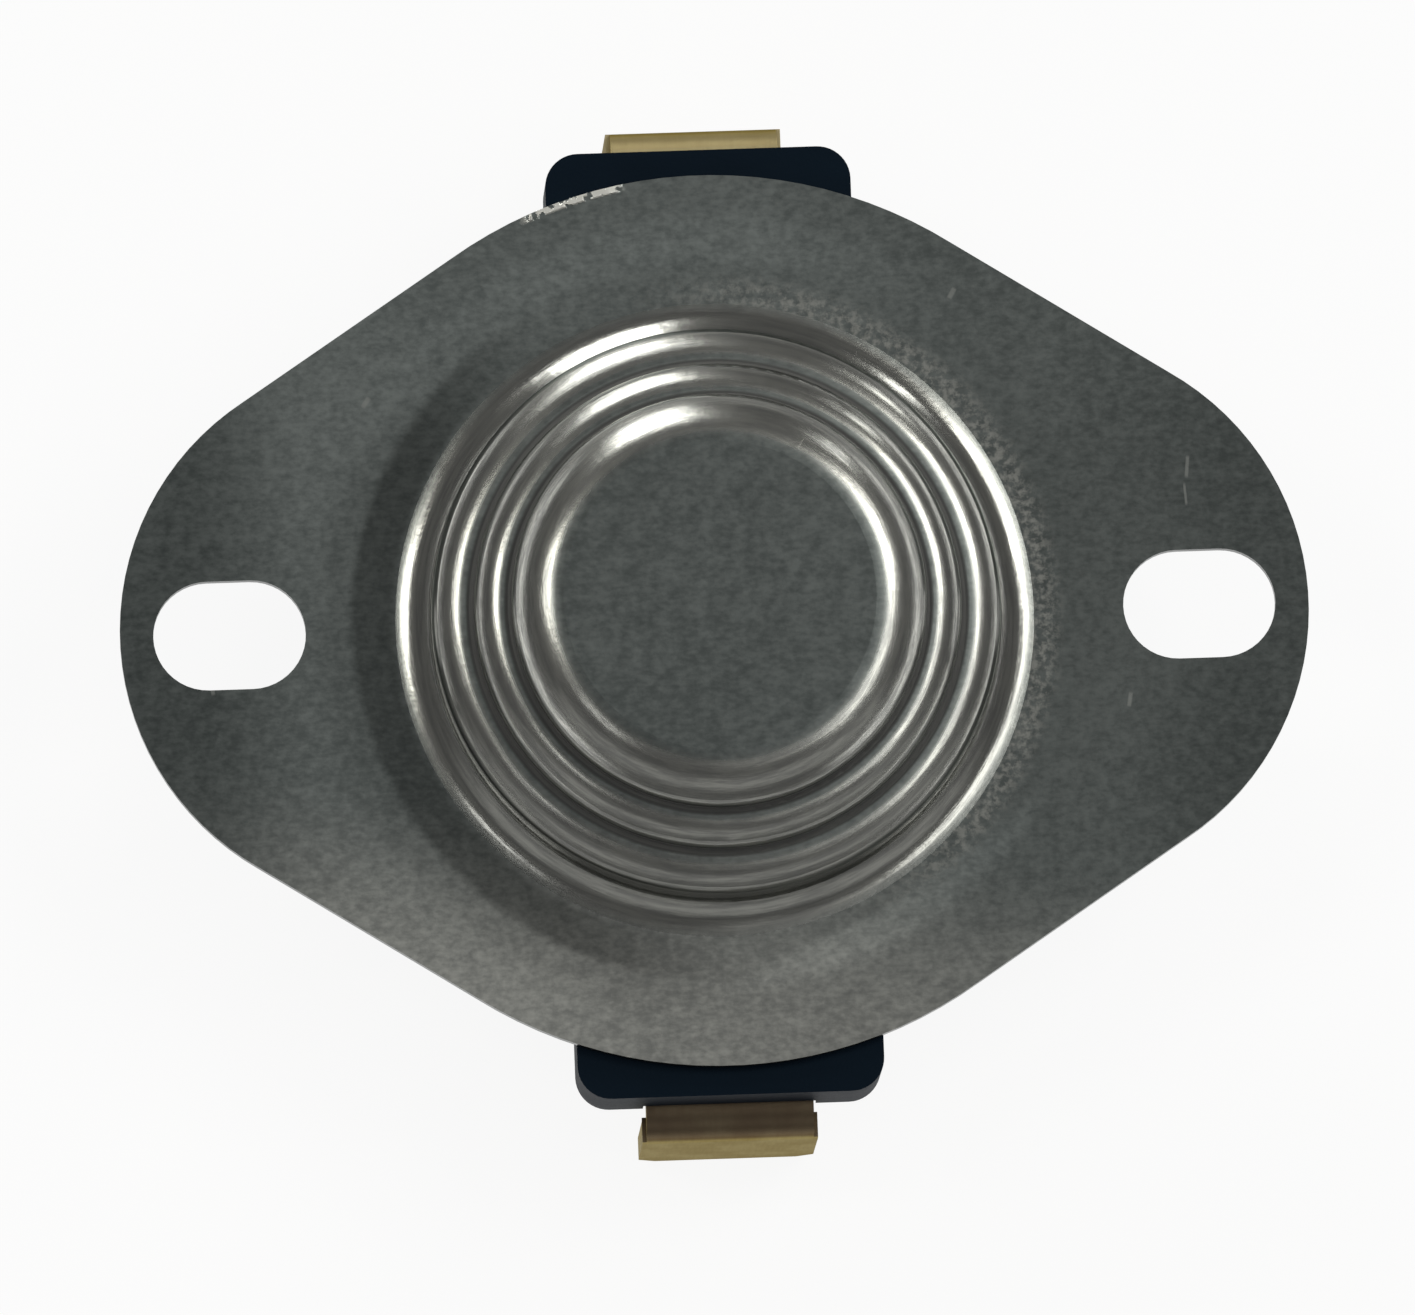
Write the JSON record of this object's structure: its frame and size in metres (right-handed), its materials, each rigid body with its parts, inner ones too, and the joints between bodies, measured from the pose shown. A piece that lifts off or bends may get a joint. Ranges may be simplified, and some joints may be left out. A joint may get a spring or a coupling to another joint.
{
  "type": "snap-disc temperature switch",
  "caption": "Snap-disc bimetal temperature switch: stepped metal sensing cup drawn in one piece with a slotted lozenge flange, with a black eared body and bent blade terminals behind it.",
  "frame": {"origin": "on the switch axis, in the flange face that lies against the panel", "axes": "+Z towards the sensing cup, +X through the two mounting slots"},
  "size_m": [0.0428, 0.0368, 0.0165],
  "materials": {
    "cup_sheet": "dull grey drawn sheet, brighter on the rounded rings",
    "phenolic": "satin black moulding",
    "bimetal": "rolled strip",
    "guide_moulding": "matt moulding",
    "pin_ceramic": "unglazed",
    "spring_bronze": "rolled strip",
    "contact_silver": "bright",
    "terminal_brass": "dull tarnished brass strip",
    "rivet_brass": "dull brass"
  },
  "bodies": {
    "housing": {"flanged_cup": "cup_sheet", "switch_body": "phenolic", "bimetal_disc": "bimetal", "guide_plate": "guide_moulding", "contact_strap": "terminal_brass", "fixed_contact": "contact_silver", "line_terminal": "terminal_brass", "load_terminal": "terminal_brass", "line_rivet": "rivet_brass", "load_rivet": "rivet_brass"},
    "pin": {"transfer_pin": "pin_ceramic"},
    "arm": {"contact_arm": "spring_bronze", "moving_contact": "contact_silver"}
  },
  "joints": [
    {"name": "pin_slide", "type": "slide", "parent": "housing", "child": "pin", "axis": [0, 0, -1], "range_m": [0, 0.00045], "deforming": ["bimetal_disc"]},
    {"name": "arm_flex", "type": "hinge", "parent": "housing", "child": "arm", "pos_m": [0, -0.0045, -0.00105], "axis": [-1, 0, 0], "range_deg": [0, 5.8], "stiffness_Nm_per_rad": 0.05, "springref_deg": -2.86, "deforming": ["contact_arm"]}
  ],
  "couplings": [
    {"joint": "arm_flex", "follows": "pin_slide", "rad_per_m": 222}
  ]
}
